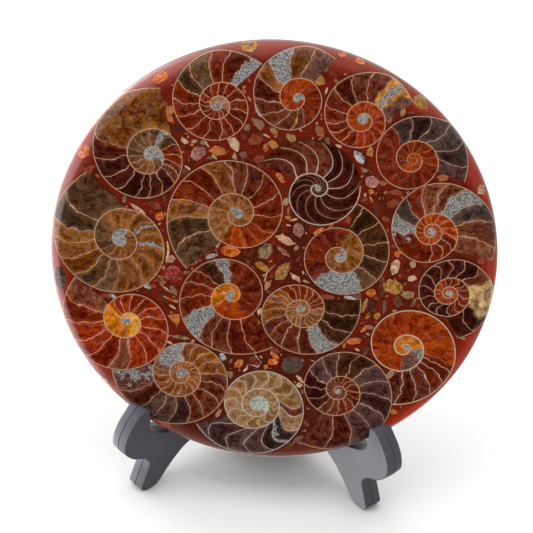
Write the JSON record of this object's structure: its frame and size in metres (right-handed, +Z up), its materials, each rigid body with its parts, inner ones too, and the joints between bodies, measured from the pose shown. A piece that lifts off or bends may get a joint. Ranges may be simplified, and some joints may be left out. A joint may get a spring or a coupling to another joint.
{
  "type": "fossil ammonite plate on stand",
  "caption": "Round polished resin plate set with sliced spiral ammonites and shell chips, leaning in the slots of a dark folding two-legged plastic display stand.",
  "frame": {"origin": "middle of the whole outline, on the table under the feet", "axes": "+Z up; the polished face looks towards -Y and leans back; +X to the right of someone facing it"},
  "size_m": [0.15, 0.0531, 0.1626],
  "materials": {
    "cast_resin": "red dyed cast polyester resin, ground flat and polished",
    "fossil_calcite": "fossil shell filled with amber and brown calcite, sliced and polished flush",
    "shell_chip": "broken fossil shell, calcite and mudstone, polished flush",
    "moulded_plastic": "dark grey injection moulded plastic, satin",
    "hinge_plastic": "dark moulded plastic pin, satin"
  },
  "bodies": {
    "plate_on_left_leg": {"resin_plate": "cast_resin", "ammonite_01": "fossil_calcite", "ammonite_02": "fossil_calcite", "ammonite_03": "fossil_calcite", "ammonite_04": "fossil_calcite", "ammonite_05": "fossil_calcite", "ammonite_06": "fossil_calcite", "ammonite_07": "fossil_calcite", "ammonite_08": "fossil_calcite", "ammonite_09": "fossil_calcite", "ammonite_10": "fossil_calcite", "ammonite_11": "fossil_calcite", "ammonite_12": "fossil_calcite", "ammonite_13": "fossil_calcite", "ammonite_14": "fossil_calcite", "ammonite_15": "fossil_calcite", "ammonite_16": "fossil_calcite", "ammonite_17": "fossil_calcite", "ammonite_18": "fossil_calcite", "chip_red_pebble": "shell_chip", "chip_dark_pebble": "shell_chip", "chip_amber_block": "shell_chip", "chip_green_block": "shell_chip", "chip_brown_grain": "shell_chip", "chip_pink_wedge": "shell_chip", "chip_curved_shell": "shell_chip", "chip_pink_shard": "shell_chip", "chip_gold_shard": "shell_chip", "chip_tan_blade": "shell_chip", "chip_cream_wedge": "shell_chip", "chip_orange_nib": "shell_chip", "chip_tan_tooth": "shell_chip", "chip_brown_flake": "shell_chip", "chip_orange_pebble": "shell_chip", "chip_gold_tooth": "shell_chip", "chip_orange_flake": "shell_chip", "chip_tan_strip": "shell_chip", "chip_amber_flake": "shell_chip", "chip_brown_scroll": "shell_chip", "chip_orange_spall": "shell_chip", "chip_silver_grain": "shell_chip", "chip_shell_ring": "shell_chip", "chip_orange_bead": "shell_chip", "chip_grey_wedge": "shell_chip", "chip_rose_block": "shell_chip", "chip_pale_blade": "shell_chip", "chip_orange_patch": "shell_chip", "chip_slate_edge": "shell_chip", "chip_amber_edge": "shell_chip", "chip_orange_edge": "shell_chip", "chip_gold_edge": "shell_chip", "chip_honey_edge": "shell_chip", "chip_pale_edge": "shell_chip", "leg_left": "moulded_plastic", "hinge_pin": "hinge_plastic"},
    "right_leg": {"leg_right": "moulded_plastic"}
  },
  "joints": [
    {"name": "stand_hinge", "type": "hinge", "parent": "plate_on_left_leg", "child": "right_leg", "pos_m": [0, 0.0183, 0.04], "axis": [0, 0, 1], "range_deg": [0, 2]}
  ]
}
